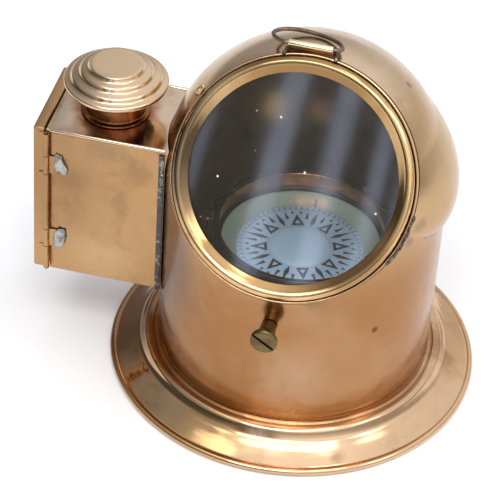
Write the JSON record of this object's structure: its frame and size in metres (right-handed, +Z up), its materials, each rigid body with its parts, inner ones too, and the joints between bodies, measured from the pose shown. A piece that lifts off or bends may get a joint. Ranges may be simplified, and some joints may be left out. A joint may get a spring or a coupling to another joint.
{
  "type": "boat binnacle compass",
  "caption": "Portable boat compass in gimbals under a glazed copper hood on a round flanged base, with an oil-lamp house and capped chimney on its side.",
  "frame": {"origin": "centre of the flat underside of the base, on the axis of the round hood", "axes": "+Z up, the sloping window faces -Y towards the user, the lamp house is on the -X side"},
  "size_m": [0.252, 0.21, 0.2163],
  "materials": {
    "polished_copper": "polished copper sheet with soft reflections",
    "flange_copper": "spun copper, glossy",
    "bright_brass": "bright polished brass",
    "lamp_brass": "warm brass sheet with faint tarnish",
    "heat_browned_brass": "brass browned by heat",
    "aged_brass": "dull olive-brown aged brass",
    "dark_bronze": "dark oxidised wire",
    "blackened_brass": "blackened brass, satin",
    "clear_glass": "clear flat glass",
    "bowl_paint": "pale green-white enamel",
    "card_white": "white printed card",
    "lead_grey": "dull cast lead",
    "steel": "plain steel",
    "putty": "dark glazing putty",
    "wick_cotton": "woven cotton"
  },
  "bodies": {
    "binnacle": {"base_flange": "flange_copper", "base_plate": "lamp_brass", "hood_shell": "polished_copper", "window_collar": "polished_copper", "window_seal": "putty", "window_glass": "clear_glass", "window_bezel": "bright_brass", "bail_bracket": "bright_brass", "pivot_boss_front": "lamp_brass", "pivot_boss_rear": "lamp_brass", "pivot_screw_front": "aged_brass", "pivot_screw_rear": "aged_brass", "lamp_house_walls": "lamp_brass", "lamp_house_top": "heat_browned_brass", "lamp_seam_front": "aged_brass", "lamp_seam_rear": "aged_brass", "door_spigot": "lamp_brass", "door_hinge_pin": "aged_brass", "hinge_leaf_lower": "aged_brass", "hinge_leaf_upper": "aged_brass", "port_frame": "lamp_brass", "port_glass": "clear_glass", "chimney_neck": "heat_browned_brass", "lamp_tank": "lamp_brass", "lamp_filler_cap": "lamp_brass", "lamp_burner": "lamp_brass", "wick_tube": "heat_browned_brass"},
    "bail": {"bail_ring": "dark_bronze"},
    "gimbal": {"gimbal_ring": "polished_copper", "inner_pivot_left": "aged_brass", "inner_pivot_right": "aged_brass"},
    "bowl": {"compass_bowl": "bowl_paint", "bowl_weight": "lead_grey", "bowl_bezel": "blackened_brass", "bowl_glass": "clear_glass", "lubber_line": "blackened_brass", "filler_plug": "aged_brass", "pivot_post": "lamp_brass"},
    "card": {"compass_card": "card_white", "card_float": "lamp_brass", "card_boss": "card_white", "magnet_left": "steel", "magnet_right": "steel"},
    "door": {"lamp_door": "lamp_brass"},
    "flue_cap": {"chimney_cap": "bright_brass", "cap_sleeve": "heat_browned_brass"},
    "wick_strand": {"wick": "wick_cotton"},
    "wick_wheel": {"wick_knob": "aged_brass"}
  },
  "joints": [
    {"name": "bail_swing", "type": "hinge", "parent": "binnacle", "child": "bail", "pos_m": [-0.0032, 0, 0.2144], "axis": [1, 0, 0], "range_deg": [0, 202]},
    {"name": "gimbal_roll", "type": "hinge", "parent": "binnacle", "child": "gimbal", "pos_m": [0, 0, 0.0846], "axis": [0, 1, 0], "range_deg": [-20, 20]},
    {"name": "bowl_pitch", "type": "hinge", "parent": "gimbal", "child": "bowl", "pos_m": [0, 0, 0.0846], "axis": [1, 0, 0], "range_deg": [-20, 20]},
    {"name": "card_turn", "type": "hinge", "parent": "bowl", "child": "card", "pos_m": [0, 0, 0.0705], "axis": [0, 0, 1], "continuous": true},
    {"name": "lamp_door_hinge", "type": "hinge", "parent": "binnacle", "child": "door", "pos_m": [-0.1392, -0.0302, 0.10045], "axis": [0, 0, 1], "range_deg": [0, 150]},
    {"name": "flue_cap_lift", "type": "slide", "parent": "binnacle", "child": "flue_cap", "axis": [0, 0, 1], "range_m": [0, 0.02]},
    {"name": "wick_turn", "type": "hinge", "parent": "binnacle", "child": "wick_wheel", "pos_m": [-0.1276, 0, 0.0925], "axis": [-1, 0, 0], "range_deg": [0, 150]},
    {"name": "wick_raise", "type": "slide", "parent": "binnacle", "child": "wick_strand", "axis": [0, 0, 1], "range_m": [0, 0.004]}
  ],
  "couplings": [
    {"joint": "wick_turn", "follows": "wick_raise", "rad_per_m": 650}
  ]
}
